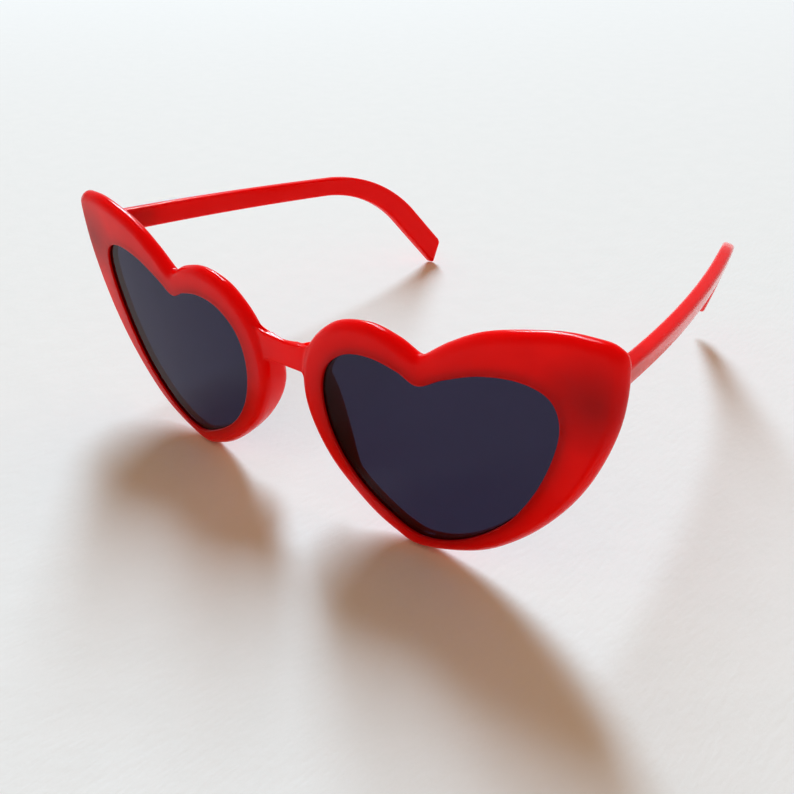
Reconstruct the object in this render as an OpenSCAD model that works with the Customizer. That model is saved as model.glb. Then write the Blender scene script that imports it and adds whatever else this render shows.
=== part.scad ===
// Heart shaped sunglasses, in millimetres.
// X runs across the face, Y runs back along the temples, Z is up.
// The origin is in the middle of the bridge's underside.

/* [Front] */
// Width across both hearts
front_w = 150; // [146:1:156]
// Space between the two hearts where it is narrowest
heart_gap = 11.2; // [10:0.2:13]
// Height of one heart, from its point to the top of its wing
heart_h = 58.5; // [57:0.1:62]
// Height of the bridge's underside above the hearts' points
point_drop = 34.1; // [32:0.1:36]
// Thickness of the front
front_t = 3.6; // [3.4:0.1:4.4]
// Radius of the front's sweep, seen from above
face_r = 450; // [400:10:700]

/* [Lens openings] */
// Rim beside the nose
nose_rim = 6; // [5.4:0.1:6.7]
// Rim at the outer end of the opening
wing_rim = 10.4; // [9.4:0.1:12]
// Rim below the opening
low_rim = 3.8; // [3:0.1:4.4]
// Depth of the opening's top below the top of the wing
top_rim = 10.6; // [9.8:0.1:12]
// Lip in front of the lens
lip_t = 0.7; // [0.5:0.1:1.1]
// Thickness of the lens
lens_t = 1.3; // [1.1:0.1:1.5]
// Reach of the lens into the rim's groove
lens_hold = 0.8; // [0.5:0.1:1]
// Play round the lens edge
lens_play = 0.15; // [0.1:0.05:0.25]
// Play in front of the lens and behind it
lens_slack = 0.05; // [0.02:0.01:0.1]

/* [Bridge and nose pads] */
// Height of the bridge where it meets the hearts
bridge_h = 7.2; // [6:0.1:8]
// Dip of the bridge's top edge in the middle
bridge_dip = 1.1; // [0.6:0.1:1.6]
// Thickness of the bridge
bridge_t = 2.4; // [2:0.1:2.8]
// Step back from the hearts' faces to the bridge
bridge_step = 0.9; // [0.4:0.1:1]
// Reach of the bridge into each heart
bridge_root = 2.6; // [2:0.1:4]
// Radius below the bridge where it meets a heart
bridge_fillet = 1.6; // [1:0.1:2]
// Thickness of a nose pad, across the nose
pad_t = 5.6; // [4:0.1:6.2]
// Reach of a nose pad behind the front
pad_reach = 4.5; // [3.4:0.1:5]
// Radius of a nose pad's back edge, seen from the side
pad_r = 24; // [20:0.5:28]
// Height of a nose pad's middle below the bridge's underside
pad_low = 9.5; // [8:0.1:11]

/* [Temples] */
// Reach of each wing past the outside of its temple
wing_past = 3.6; // [3:0.1:4.4]
// Depth of the temples' middle below the top of the wings, at the hinges
temple_drop = 9.5; // [9:0.1:10.6]
// Thickness of a temple
temple_t = 3; // [2.8:0.1:3.4]
// Height of a temple at the hinge
root_h = 5.7; // [5.4:0.1:6.2]
// Height of a temple where its bend starts
neck_h = 5.4; // [4.6:0.1:5.8]
// Height of a temple's drooping end
end_h = 7.2; // [6:0.1:8]
// Radius of a temple's inward bow, seen from above
bow_r = 410; // [350:10:500]
// Fall of the straight stretch, in degrees
temple_fall = 8.6; // [7:0.1:9.5]
// How much higher the right temple is set than the left one, in degrees
right_lift = 1.4; // [0:0.1:1.8]
// How far the right temple leans inwards, in degrees
right_lean = 12.5; // [0:0.5:14]
// Length of the straight stretch
straight_l = 74; // [70:0.5:78]
// Radius of the bend over the ear
bend_r = 45; // [40:1:50]
// Fall of the drooping end, in degrees
end_fall = 53.5; // [48:0.5:56]
// How much the end's top edge is cut shorter than its lower edge
end_cut = 3.6; // [2.6:0.1:5]
// Rounding of the end's upper corner
end_round = 3; // [2:0.1:3.6]

/* [Hinges] */
// Stand of the hinge block behind the wing
block_stand = 1.1; // [0.9:0.1:1.6]
// Gap between a temple's end and its hinge block, when it is open
butt_gap = 0.35; // [0.2:0.05:0.4]
// Radius of the hinge barrel
barrel_r = 1.6; // [1.5:0.05:1.7]
// Height of one knuckle of the barrel
knuckle_h = 1.4; // [1.3:0.05:1.45]
// Gap between neighbouring knuckles
knuckle_gap = 0.15; // [0.1:0.01:0.2]
// Clearance between the barrel and the plastic beside it
barrel_gap = 0.4; // [0.3:0.05:0.5]
// Clearance between the barrel and the leaf in front of it
leaf_gap = 0.25; // [0.2:0.05:0.35]
// Thickness of the hinge's leaves
leaf_t = 0.8; // [0.6:0.05:1]
// Width of the leaf in the front
front_leaf_w = 7; // [6:0.1:8]
// Length of the leaf in the temple
temple_leaf_l = 12; // [10:0.5:14]
// Height of the leaf in the temple
leaf_h = 3.8; // [3.2:0.1:4.2]
// Skin of plastic over the leaf in the temple, on its inner side
leaf_cover = 0.5; // [0.4:0.05:0.6]
// Width of the anchor behind each leaf
anchor_w = 2; // [1.5:0.1:2.4]
// Depth of the anchor behind each leaf
anchor_t = 1; // [0.8:0.1:1.2]

/* [Hinge screws] */
// Radius of the screw's shank
screw_r = 0.6; // [0.5:0.05:0.7]
// Radial running clearance round the shank
screw_play = 0.05; // [0.03:0.01:0.08]
// Radius of the screw's head
head_r = 1.15; // [1:0.05:1.3]
// Height of the screw's head
head_h = 0.55; // [0.45:0.05:0.6]
// Width of the slot in the head
slot_w = 0.3; // [0.2:0.05:0.4]
// Depth of the slot in the head
slot_d = 0.25; // [0.2:0.05:0.3]

/* [Hidden] */

red = [0.80, 0.05, 0.06];
smoke = [0.12, 0.12, 0.16, 0.85];
steel = [0.72, 0.72, 0.74];

// Steps along each stretch of a curve
curve_steps = 5;
// Steps round the temple's bend
bend_steps = 10;
// Facets of the wide sweeps and of the small round parts
sweep_fn = 720;
round_fn = 48;
// Overrun of every cut past the face that it opens
overrun = 1;

// A heart's outline, from its notch over the wing to its point and back beside the nose,
// in shares of the heart's width and height
heart_shares = [
    [0.434, 0.796], [0.527, 0.879], [0.64, 0.948], [0.81, 0.995], [0.91, 0.999],
    [0.968, 0.985], [0.998, 0.93], [0.991, 0.735], [0.938, 0.524], [0.857, 0.348],
    [0.743, 0.19], [0.612, 0.076], [0.428, 0.003], [0.333, 0.027], [0.218, 0.104],
    [0.078, 0.264], [0.003, 0.472], [0.023, 0.682], [0.129, 0.823], [0.257, 0.865],
    [0.362, 0.842], [0.434, 0.796]
];
// An opening's outline, in shares of the opening's width and height
opening_shares = [
    [0.461, 0.844], [0.567, 0.91], [0.709, 0.978], [0.852, 1], [0.959, 0.959],
    [1, 0.845], [0.982, 0.675], [0.917, 0.458], [0.809, 0.249], [0.634, 0.07],
    [0.451, 0], [0.284, 0.077], [0.132, 0.22], [0.035, 0.405], [0, 0.613],
    [0.034, 0.782], [0.131, 0.885], [0.25, 0.913], [0.371, 0.887]
];

heart_x = heart_gap / 2;
heart_w = front_w / 2 - heart_x;
floor_z = -point_drop;
opening_w = heart_w - nose_rim - wing_rim;
opening_h = heart_h - low_rim - top_rim;
opening_x = heart_x + nose_rim;
opening_z = floor_z + low_rim;
face_y = -(bridge_step + bridge_t / 2);

// Depth of the front's rear surface at a distance from the middle
function back_y(x) = face_r - sqrt((face_r - front_t) * (face_r - front_t) - x * x);

temple_z = floor_z + heart_h - temple_drop;
outer_x = front_w / 2 - wing_past;
inner_x = outer_x - temple_t;
axis_x = inner_x - barrel_gap - barrel_r;
block_y = back_y(outer_x) + block_stand;
butt_y = block_y + butt_gap;
axis_y = block_y + leaf_gap + barrel_r;
block_x = axis_x - front_leaf_w + barrel_r / 2;
barrel_h = 3 * knuckle_h + 2 * knuckle_gap;
barrel_z = temple_z + root_h / 2 - head_h - barrel_h;
temple_z_mid = barrel_z + barrel_h / 2;
middle_z = barrel_z + knuckle_h + knuckle_gap;

// Smooth curves through points
function span(a, b, c, d, t) = (
    2 * b + (c - a) * t + (2 * a - 5 * b + 4 * c - d) * t * t + (3 * b - a - 3 * c + d) * t * t * t
) / 2;
function near(p, i) = p[(i + len(p)) % len(p)];
function loop_curve(p) = [
    for (i = [0:len(p) - 1]) for (k = [0:curve_steps - 1])
        span(near(p, i - 1), p[i], near(p, i + 1), near(p, i + 2), k / curve_steps)
];
function before(p, i) = i == 0 ? 2 * p[0] - p[1] : p[i - 1];
function after(p, i) = i == len(p) - 2 ? 2 * p[i + 1] - p[i] : p[i + 2];
function notched_curve(p) = [
    for (i = [0:len(p) - 2]) for (k = [0:curve_steps - 1])
        span(before(p, i), p[i], p[i + 1], after(p, i), k / curve_steps)
];
function side_of(p, i) = let (t = near(p, i + 1) - near(p, i - 1)) [-t[1], t[0]] / norm(t);
function grown(p, d) = [for (i = [0:len(p) - 1]) p[i] + d * side_of(p, i)];

heart_points = notched_curve([
    for (s = heart_shares) [heart_x + s[0] * heart_w, floor_z + s[1] * heart_h]
]);
opening_points = loop_curve([
    for (s = opening_shares) [opening_x + s[0] * opening_w, opening_z + s[1] * opening_h]
]);

// The temple's side view: its middle line, and its height along it
bend_from = [butt_y + straight_l * cos(temple_fall), temple_z - straight_l * sin(temple_fall)];
function bend_at(a) = bend_from + bend_r * [
    sin(a) - sin(temple_fall), cos(a) - cos(temple_fall)
];
bend_to = bend_at(end_fall);
end_l = (bend_to[1] - end_h / 2 * cos(end_fall) - floor_z) / sin(end_fall);
function end_at(s, off) = bend_to + s * [cos(end_fall), -sin(end_fall)]
    + off * [sin(end_fall), cos(end_fall)];
function edge_at(p, a, off) = p + off * [sin(a), cos(a)];
function bend_edge(side) = [
    for (k = [0:bend_steps])
        let (t = k / bend_steps, a = temple_fall + (end_fall - temple_fall) * t)
            edge_at(bend_at(a), a, side * (neck_h + (end_h - neck_h) * t) / 2)
];
function corner_curve(a, b, c) = [
    for (k = [0:curve_steps])
        let (t = k / curve_steps) (1 - t) * (1 - t) * a + 2 * t * (1 - t) * b + t * t * c
];
end_top = end_at(end_l - end_cut, end_h / 2);
end_low = end_at(end_l, -end_h / 2);
end_side = (end_low - end_top) / norm(end_low - end_top);
temple_side_points = concat(
    [[butt_y, temple_z + root_h / 2]],
    bend_edge(1),
    corner_curve(end_at(end_l - end_cut - end_round, end_h / 2), end_top, end_top + end_round * end_side),
    [end_low],
    [for (i = [bend_steps:-1:0]) bend_edge(-1)[i]],
    [[butt_y, temple_z - root_h / 2]]
);

// A flat outline in X and Z, carried straight back from one depth to another
module carried_back(points, from_y, to_y) {
    translate([0, to_y, 0]) rotate([90, 0, 0]) linear_extrude(to_y - from_y) polygon(points);
}

// The space between two depths behind the swept face
module face_layer(from_t, to_t) {
    translate([0, face_r, floor_z - overrun]) difference() {
        cylinder(r = face_r - from_t, h = heart_h + 2 * overrun, $fn = sweep_fn);
        translate([0, 0, -overrun])
            cylinder(r = face_r - to_t, h = heart_h + 4 * overrun, $fn = sweep_fn);
    }
}

module swept_plate(points, from_t, to_t) {
    intersection() {
        carried_back(points, -overrun, back_y(front_w / 2) + overrun);
        face_layer(from_t, to_t);
    }
}

module both_sides() {
    children();
    mirror([1, 0, 0]) children();
}

module right_pad() {
    intersection() {
        difference() {
            carried_back(heart_points, front_t / 2, front_t + 2 * pad_reach);
            translate([pad_t, 0, 0])
                carried_back(heart_points, front_t / 2 - overrun, front_t + 2 * pad_reach + overrun);
        }
        translate([0, front_t + pad_reach - pad_r, -pad_low]) rotate([0, 90, 0])
            cylinder(r = pad_r, h = front_w / 4, $fn = sweep_fn / 4);
    }
}

module right_block() {
    translate([block_x, back_y(block_x) - front_t / 4, temple_z - root_h / 2])
        cube([outer_x - block_x, block_y - back_y(block_x) + front_t / 4, root_h]);
}

// The bridge's outline: a dipped top edge, and a fillet at each end of its underside
bridge_end = heart_x + bridge_root;
bridge_top = [
    for (k = [-curve_steps:curve_steps])
        let (t = k / curve_steps) [t * bridge_end, bridge_h - bridge_dip * (1 - t * t)]
];
fillet_edge = [
    for (k = [0:curve_steps])
        let (a = 90 * k / curve_steps)
            [heart_x - bridge_fillet * (1 - cos(a)), bridge_fillet * (sin(a) - 1)]
];
bridge_points = concat(
    bridge_top,
    [[bridge_end, -bridge_fillet]],
    fillet_edge,
    [for (i = [curve_steps:-1:0]) [-fillet_edge[i][0], fillet_edge[i][1]]],
    [[-bridge_end, -bridge_fillet]]
);

module front_leaf_plate() {
    translate([block_x + barrel_r / 2, block_y - leaf_t, barrel_z])
        cube([front_leaf_w - barrel_r / 2, leaf_t, barrel_h]);
    translate([block_x + barrel_r, block_y - leaf_t - anchor_t, temple_z_mid - anchor_w / 2])
        cube([anchor_w, anchor_t, anchor_w]);
}

// What is set about the foot of a temple's inner face, tipped up and leaned inwards
module tipped(angle, lean) {
    translate([inner_x, axis_y, barrel_z]) rotate([angle, 0, 0]) rotate([0, lean, 0])
        translate([-inner_x, -axis_y, -barrel_z]) children();
}

// The leaf moulded into a temple, under a skin of plastic
module temple_leaf_plate(lift, lean) {
    tipped(lift, lean) translate([inner_x + leaf_cover, axis_y, temple_z_mid])
        rotate([-temple_fall, 0, 0]) {
            translate([0, -barrel_r / 2, -leaf_h / 2]) cube([leaf_t, temple_leaf_l, leaf_h]);
            translate([leaf_t, temple_leaf_l / 2, -anchor_w / 2])
                cube([anchor_t, anchor_w, anchor_w]);
        }
}

// The arm from the barrel's middle knuckle through the skin to the leaf
module temple_leaf_arm(lean) {
    arm_l = inner_x - axis_x + leaf_cover + leaf_t / 2 + (temple_z_mid - barrel_z) * tan(lean);
    translate([axis_x, axis_y, middle_z]) cube([arm_l, barrel_r, knuckle_h]);
}

module front_frame_body() {
    difference() {
        union() {
            both_sides() {
                swept_plate(heart_points, 0, front_t);
                right_pad();
                right_block();
            }
            swept_plate(bridge_points, bridge_step, bridge_step + bridge_t);
        }
        both_sides() {
            carried_back(opening_points, -overrun, back_y(front_w / 2) + pad_reach);
            swept_plate(
                grown(opening_points, lens_hold + lens_play),
                lip_t - lens_slack, lip_t + lens_t + lens_slack
            );
            front_leaf_plate();
        }
    }
}

module right_lens() {
    color(smoke) swept_plate(grown(opening_points, lens_hold), lip_t, lip_t + lens_t);
}

module bowed_temple(lift, lean) {
    color(red) difference() {
        tipped(lift, lean) intersection() {
            rotate([90, 0, 90]) linear_extrude(outer_x + overrun) polygon(temple_side_points);
            translate([outer_x - bow_r, butt_y, floor_z - overrun]) difference() {
                cylinder(r = bow_r, h = heart_h + 2 * overrun, $fn = sweep_fn);
                translate([0, 0, -overrun])
                    cylinder(r = bow_r - temple_t, h = heart_h + 4 * overrun, $fn = sweep_fn);
            }
        }
        temple_leaf_plate(lift, lean);
        temple_leaf_arm(lean);
    }
}

module knuckle(low_z) {
    translate([axis_x, axis_y, low_z]) cylinder(r = barrel_r, h = knuckle_h, $fn = round_fn);
}

module screw_bore() {
    translate([axis_x, axis_y, barrel_z - overrun])
        cylinder(r = screw_r + screw_play, h = barrel_h + 2 * overrun, $fn = round_fn);
}

module right_front_hinge() {
    color(steel) difference() {
        union() {
            front_leaf_plate();
            for (low_z = [barrel_z, barrel_z + 2 * (knuckle_h + knuckle_gap)]) {
                knuckle(low_z);
                translate([axis_x - barrel_r, block_y - leaf_t / 2, low_z])
                    cube([barrel_r, axis_y - block_y + leaf_t / 2, knuckle_h]);
            }
        }
        screw_bore();
    }
}

module bowed_temple_hinge(lift, lean) {
    color(steel) difference() {
        union() {
            temple_leaf_plate(lift, lean);
            temple_leaf_arm(lean);
            knuckle(middle_z);
        }
        screw_bore();
    }
}

module right_hinge_screw() {
    head_z = barrel_z + barrel_h;
    color(steel) difference() {
        translate([axis_x, axis_y, 0]) {
            translate([0, 0, barrel_z]) cylinder(r = screw_r, h = barrel_h, $fn = round_fn);
            translate([0, 0, head_z]) cylinder(r = head_r, h = head_h, $fn = round_fn);
        }
        translate([axis_x - head_r - overrun, axis_y - slot_w / 2, head_z + head_h - slot_d])
            cube([2 * (head_r + overrun), slot_w, slot_d + overrun]);
    }
}

module on_the_right() {
    translate([0, face_y, 0]) children();
}

module on_the_left() {
    mirror([1, 0, 0]) on_the_right() children();
}

module front_frame() {
    color(red) on_the_right() front_frame_body();
}

front_frame();
on_the_left() right_lens();  // lens_left
on_the_right() right_lens();  // lens_right
on_the_left() bowed_temple(0, 0);  // temple_left
on_the_right() bowed_temple(right_lift, right_lean);  // temple_right
on_the_left() right_front_hinge();  // front_hinge_left
on_the_right() right_front_hinge();  // front_hinge_right
on_the_left() bowed_temple_hinge(0, 0);  // temple_hinge_left
on_the_right() bowed_temple_hinge(right_lift, right_lean);  // temple_hinge_right
on_the_left() right_hinge_screw();  // hinge_screw_left
on_the_right() right_hinge_screw();  // hinge_screw_right
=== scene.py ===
# %% [markdown]
# # Heart shaped sunglasses
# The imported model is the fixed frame. It brings eleven solids on three bodies: the front,
# and a temple on each side that folds on a small metal hinge. This lesson dresses it: the
# front and the temples get the rounded, polished edges of injection moulded plastic, the
# lenses get a smooth curve, and the hinges get their metal.

# %% Load the frame
import math

import bmesh
import bpy
import numpy as np
from mathutils import Matrix, Quaternion, Vector


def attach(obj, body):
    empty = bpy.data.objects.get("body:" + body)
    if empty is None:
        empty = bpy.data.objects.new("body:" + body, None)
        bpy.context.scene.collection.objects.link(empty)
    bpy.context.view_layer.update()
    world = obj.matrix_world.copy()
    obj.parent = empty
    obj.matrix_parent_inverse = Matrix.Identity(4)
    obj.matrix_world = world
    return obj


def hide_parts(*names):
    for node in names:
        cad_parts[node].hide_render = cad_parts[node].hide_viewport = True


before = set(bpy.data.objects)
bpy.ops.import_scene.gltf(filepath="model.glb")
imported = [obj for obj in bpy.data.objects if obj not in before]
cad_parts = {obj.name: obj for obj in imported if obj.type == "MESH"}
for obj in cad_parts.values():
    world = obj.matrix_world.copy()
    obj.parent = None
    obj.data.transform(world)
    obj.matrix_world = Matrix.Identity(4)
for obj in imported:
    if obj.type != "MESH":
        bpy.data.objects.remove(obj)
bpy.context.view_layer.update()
MM = 0.001

# %% [markdown]
# ## The size of a heart
# The main sizes are those of the part's source, in millimetres, so that each new piece lies
# where its solid is. The outlines are given as shares of a heart's width and height.

# %% Sizes and outlines of a heart
FRONT_W = 150  # across both wings
HEART_GAP = 11.2  # between the two hearts
HEART_H = 58.5
POINT_DROP = 34.1  # from the origin down to the hearts' points
NOSE_RIM, WING_RIM, LOW_RIM, TOP_RIM = 6, 10.4, 3.8, 10.6
HEART_X = HEART_GAP / 2
HEART_W = FRONT_W / 2 - HEART_X
OPENING_W = HEART_W - NOSE_RIM - WING_RIM
OPENING_H = HEART_H - LOW_RIM - TOP_RIM
HEART_SHARES = [
    (0.434, 0.796), (0.527, 0.879), (0.64, 0.948), (0.81, 0.995), (0.91, 0.999),
    (0.968, 0.985), (0.998, 0.93), (0.991, 0.735), (0.938, 0.524), (0.857, 0.348),
    (0.743, 0.19), (0.612, 0.076), (0.428, 0.003), (0.333, 0.027), (0.218, 0.104),
    (0.078, 0.264), (0.003, 0.472), (0.023, 0.682), (0.129, 0.823), (0.257, 0.865),
    (0.362, 0.842), (0.434, 0.796),
]
OPENING_SHARES = [
    (0.461, 0.844), (0.567, 0.91), (0.709, 0.978), (0.852, 1), (0.959, 0.959),
    (1, 0.845), (0.982, 0.675), (0.917, 0.458), (0.809, 0.249), (0.634, 0.07),
    (0.451, 0), (0.284, 0.077), (0.132, 0.22), (0.035, 0.405), (0, 0.613),
    (0.034, 0.782), (0.131, 0.885), (0.25, 0.913), (0.371, 0.887),
]
print("heart:", round(HEART_W, 2), "by", HEART_H, "mm")
print("opening:", round(OPENING_W, 2), "by", round(OPENING_H, 2), "mm")

# %% [markdown]
# ## Outlines as rays from the middle of a lens
# A heart's outline and its opening are both seen once from the middle of the lens in every
# direction, so a fan of rays, about one for each degree, meets both. Rings of points that
# share their rays join into a clean grid of faces, which a rim with two different outlines
# needs.

# %% Curves through chosen points
def curve(points, closed, steps=48):
    """A smooth curve that passes through every point."""
    p = np.array(points, float)
    if closed:
        p = np.vstack([p[-1], p, p[:2]])
    else:
        p = np.vstack([2 * p[0] - p[1], p, 2 * p[-1] - p[-2]])
    t = np.linspace(0, 1, steps, endpoint=False)[:, None]
    parts = []
    for a, b, c, d in zip(p[:-3], p[1:-2], p[2:-1], p[3:]):
        parts.append((2 * b + (c - a) * t + (2 * a - 5 * b + 4 * c - d) * t ** 2
                      + (3 * b - a - 3 * c + d) * t ** 3) / 2)
    return np.vstack(parts)


def in_heart(u, v):
    """A place in the drawing, from shares of a heart's width and height."""
    return np.array([HEART_X + u * HEART_W, v * HEART_H - POINT_DROP])


def in_opening(u, v):
    """A place in the drawing, from shares of an opening's width and height."""
    return np.array([HEART_X + NOSE_RIM + u * OPENING_W, v * OPENING_H + LOW_RIM - POINT_DROP])


heart = curve([in_heart(u, v) for u, v in HEART_SHARES], False)
opening = curve([in_opening(u, v) for u, v in OPENING_SHARES], True)
print("points on the heart:", len(heart), "on the opening:", len(opening))

# %% Where the rays meet both outlines
def on_rays(points):
    away = points - middle
    turn = np.mod(np.arctan2(away[:, 1], away[:, 0]), 2 * math.pi)
    order = np.argsort(turn)
    return np.interp(angles, turn[order], np.hypot(*away[order].T), period=2 * math.pi)


RAYS = 384
POLISH = 0.01  # what tumbling takes off the outside
angles = np.arange(RAYS) * 2 * math.pi / RAYS
middle = in_heart(0.5, 0.45)
heart_reach = on_rays(heart) - POLISH
opening_reach = on_rays(opening)
print("from the middle to the heart's edge:", heart_reach.min().round(1), "to",
      heart_reach.max().round(1), "mm")

# %% [markdown]
# A moulded notch is never sharp, because the cutter that made the mould was round. The reach
# of the rays is averaged over a few neighbours near the notch, which rounds it.

# %% Round the notch of the heart
NEIGHBOURS, SOFT_RAYS = 6, 2.0
NOTCH_WIDE, NOTCH_FADE = 1.6, math.radians(6)  # gone 9.6 degrees from the notch
notch = in_heart(0.44, 0.794) - middle
notch_turn = math.atan2(notch[1], notch[0])
shares = np.exp(-0.5 * (np.arange(-NEIGHBOURS, NEIGHBOURS + 1) / SOFT_RAYS) ** 2)
shares /= shares.sum()
all_round = np.r_[heart_reach[-NEIGHBOURS:], heart_reach, heart_reach[:NEIGHBOURS]]
soft_reach = np.convolve(all_round, shares, "valid")
near_notch = np.clip(NOTCH_WIDE - np.abs(angles - notch_turn) / NOTCH_FADE, 0, 1)
moved = np.abs(soft_reach - heart_reach) * near_notch
print("the notch moves by up to", moved.max().round(2), "mm")
heart_reach = heart_reach * (1 - near_notch) + soft_reach * near_notch

# %% Both outlines and the way across the rim
def side_of(ring):
    """A unit step to the left at each point of a ring."""
    along = np.roll(ring, -1, 0) - np.roll(ring, 1, 0)
    along /= np.linalg.norm(along, axis=1)[:, None]
    return np.stack([-along[:, 1], along[:, 0]], 1)


rays = np.stack([np.cos(angles), np.sin(angles)], 1)
outer = middle + heart_reach[:, None] * rays
inner = middle + opening_reach[:, None] * rays
outer_in, inner_out = side_of(outer), -side_of(inner)
rim = heart_reach - opening_reach
print("rim widths:", rim.min().round(2), "to", rim.max().round(2), "mm")

# %% [markdown]
# ## From the flat drawing to the swept front
# The front is a flat drawing bent round a large upright drum. A point is given by its place
# in the drawing and its depth behind the face, and this puts it in the scene in metres. The
# origin is in the middle of the bridge, so the face lies a little in front of it.

# %% Place points behind the swept face
FACE_R = 450  # radius of the drum
BRIDGE_STEP, BRIDGE_T = 0.9, 2.4
FACE_Y = -(BRIDGE_STEP + BRIDGE_T / 2)


def with_depth(flat, depth):
    depth = np.broadcast_to(np.asarray(depth, float), flat.shape[:1])
    return np.column_stack([flat, depth])


def swept(points):
    x, z, depth = np.asarray(points, float).T
    y = FACE_R - np.sqrt((FACE_R - depth) ** 2 - x ** 2) + FACE_Y
    return np.stack([x, y, z], 1) * MM


wing_tip = swept(with_depth(outer, 0))[:, 1].max()
print("the sweep sets a wing back by", round(float(wing_tip / MM - FACE_Y), 2), "mm")

# %% [markdown]
# ## Rings extruded one after another
# By hand this is a circle, then extrude, move, extrude, move, all the way round the section
# of the rim. Each corner keeps the number of its ray and of its ring in two layers, so the
# code always knows which corner it holds.

# %% Helpers that start and extrude a ring
def deselect_all():
    if bpy.context.mode != "OBJECT":
        bpy.ops.object.mode_set(mode="OBJECT")
    bpy.ops.object.select_all(action="DESELECT")


def select_only(piece):
    deselect_all()
    piece.select_set(True)
    bpy.context.view_layer.objects.active = piece


def start_ring(name, ring):
    deselect_all()
    bpy.ops.mesh.primitive_circle_add(vertices=len(ring), radius=MM)
    piece = bpy.context.object
    piece.name = piece.data.name = name
    bpy.ops.object.mode_set(mode="EDIT")
    bpy.ops.mesh.select_mode(type="EDGE")
    bm = bmesh.from_edit_mesh(piece.data)
    ray, row = bm.verts.layers.int.new("ray"), bm.verts.layers.int.new("row")
    for i, v in enumerate(bm.verts):
        v[ray], v[row], v.co = i, 0, ring[i]
    for e in bm.edges:
        e.select = True
    bmesh.update_edit_mesh(piece.data)
    return piece


def extrude_to(piece, place, number=None):
    """Extrudes what is selected, and moves each new corner to its place."""
    bpy.ops.mesh.extrude_edges_move()
    bm = bmesh.from_edit_mesh(piece.data)
    ray, row = bm.verts.layers.int["ray"], bm.verts.layers.int["row"]
    for v in bm.verts:
        if v.select:
            v.co = place(v[ray], v[row])
            if number is not None:
                v[row] = number
    bmesh.update_edit_mesh(piece.data)


# %% [markdown]
# Where a skin meets itself, its doubled corners are merged, and all its faces are turned
# outwards. A closed skin has two faces at every edge, so the count of open edges has to be 0.

# %% Helpers that close a skin and measure it
def weld(piece, merge=1e-6):
    bpy.ops.mesh.select_all(action="SELECT")
    bpy.ops.mesh.remove_doubles(threshold=merge)
    bpy.ops.mesh.normals_make_consistent(inside=False)
    bpy.ops.object.mode_set(mode="OBJECT")


def measure(piece):
    bm = bmesh.new()
    bm.from_mesh(piece.data)
    loose = sum(1 for e in bm.edges if len(e.link_faces) != 2)
    volume = bm.calc_volume(signed=True)
    bm.free()
    print(piece.name, "faces", len(piece.data.polygons), "open edges", loose,
          "volume", round(volume * 1e9, 1), "mm3")


def extruded(name, rings, closed=False):
    """Extrudes ring after ring. An open row of rings gets a face at each end."""
    piece = start_ring(name, rings[0])
    for number, ring in enumerate(rings[1:] + (rings[:1] if closed else []), 1):
        extrude_to(piece, lambda i, k, ring=ring: ring[i], number % len(rings))
    if not closed:
        bpy.ops.mesh.select_all(action="DESELECT")
        bpy.ops.mesh.select_non_manifold()
        bpy.ops.mesh.edge_face_add()
    weld(piece)
    measure(piece)
    return piece


# %% [markdown]
# ## The nose pad
# The rear face rises beside the nose into a pad as wide as the rim. Seen from the side it is
# part of a large circle, and it leaves the rear face without a corner.

# %% How far the pad stands behind the rear face at each ray
PAD_REACH, PAD_R, PAD_LOW = 4.5, 24, 9.5
PAD_SIDE = 0.3  # the share of a heart's width, from the nose, that can carry the pad
PAD_BLEND = 0.35  # how softly the pad leaves the rear face
PAD_START = -3  # where the circle lies deeper than this, there is no pad
on_nose_side = (outer[:, 0] < HEART_X + PAD_SIDE * HEART_W) & (np.cos(angles) < 0)
pad_up = np.where(on_nose_side, PAD_R ** 2 - (outer[:, 1] + PAD_LOW) ** 2, 0)
pad_up = np.sqrt(np.clip(pad_up, 0, None)) - PAD_R + PAD_REACH
pad_up = 0.5 * (pad_up + np.sqrt(pad_up ** 2 + PAD_BLEND ** 2)) * (pad_up > PAD_START)
print("the pad stands up to", pad_up.max().round(2), "mm behind the rear face")

# %% [markdown]
# ## The section of the rim
# Seen in section the rim is a small block. Its outer corners are well rounded, because red
# fronts like this are tumbled until their edges are soft. The edge of the opening keeps a
# fine rounding of a quarter of a millimetre. Behind it a groove holds the lens.

# %% Rows across the face, from the groove to the outside
FRONT_T = 3.6
LIP_T, LENS_T, LENS_HOLD, LENS_PLAY, LENS_SLACK = 0.7, 1.3, 0.8, 0.15, 0.05
EDGE_R, OPEN_R = 2.1, 0.25
ROUND = np.radians([0, 12, 24, 37, 49, 62, 76, 90])
BRIDGE_TURN = 3  # the step of a rounding where the bridge is rooted
rows = []


def add_row(flat, depth):
    rows.append(with_depth(flat, depth))


def lerp(a, b, t):
    return a * (1 - t) + b * t


groove_in, groove_out = LIP_T - LENS_SLACK, LIP_T + LENS_T + LENS_SLACK
for depth in (groove_in, (groove_in + OPEN_R) / 2, OPEN_R):
    add_row(inner, depth)
for turn in ROUND[[4, 6, 7]]:
    add_row(inner + OPEN_R * (1 - math.cos(turn)) * inner_out, OPEN_R * (1 - math.sin(turn)))
face_in, face_out = inner + OPEN_R * inner_out, outer + EDGE_R * outer_in
for t in (0.08, 0.25, 0.42, 0.58, 0.75, 0.92):
    add_row(lerp(face_in, face_out, t), 0)
front_row = len(rows) + BRIDGE_TURN
for turn in ROUND:
    add_row(outer + EDGE_R * (1 - math.sin(turn)) * outer_in, EDGE_R * (1 - math.cos(turn)))
print("rows from the groove to the outside:", len(rows))

# %% [markdown]
# The rows go on over the side and the rear face. The pad keeps its full height over the
# outer part of the rim, and rolls off towards the opening.

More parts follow.
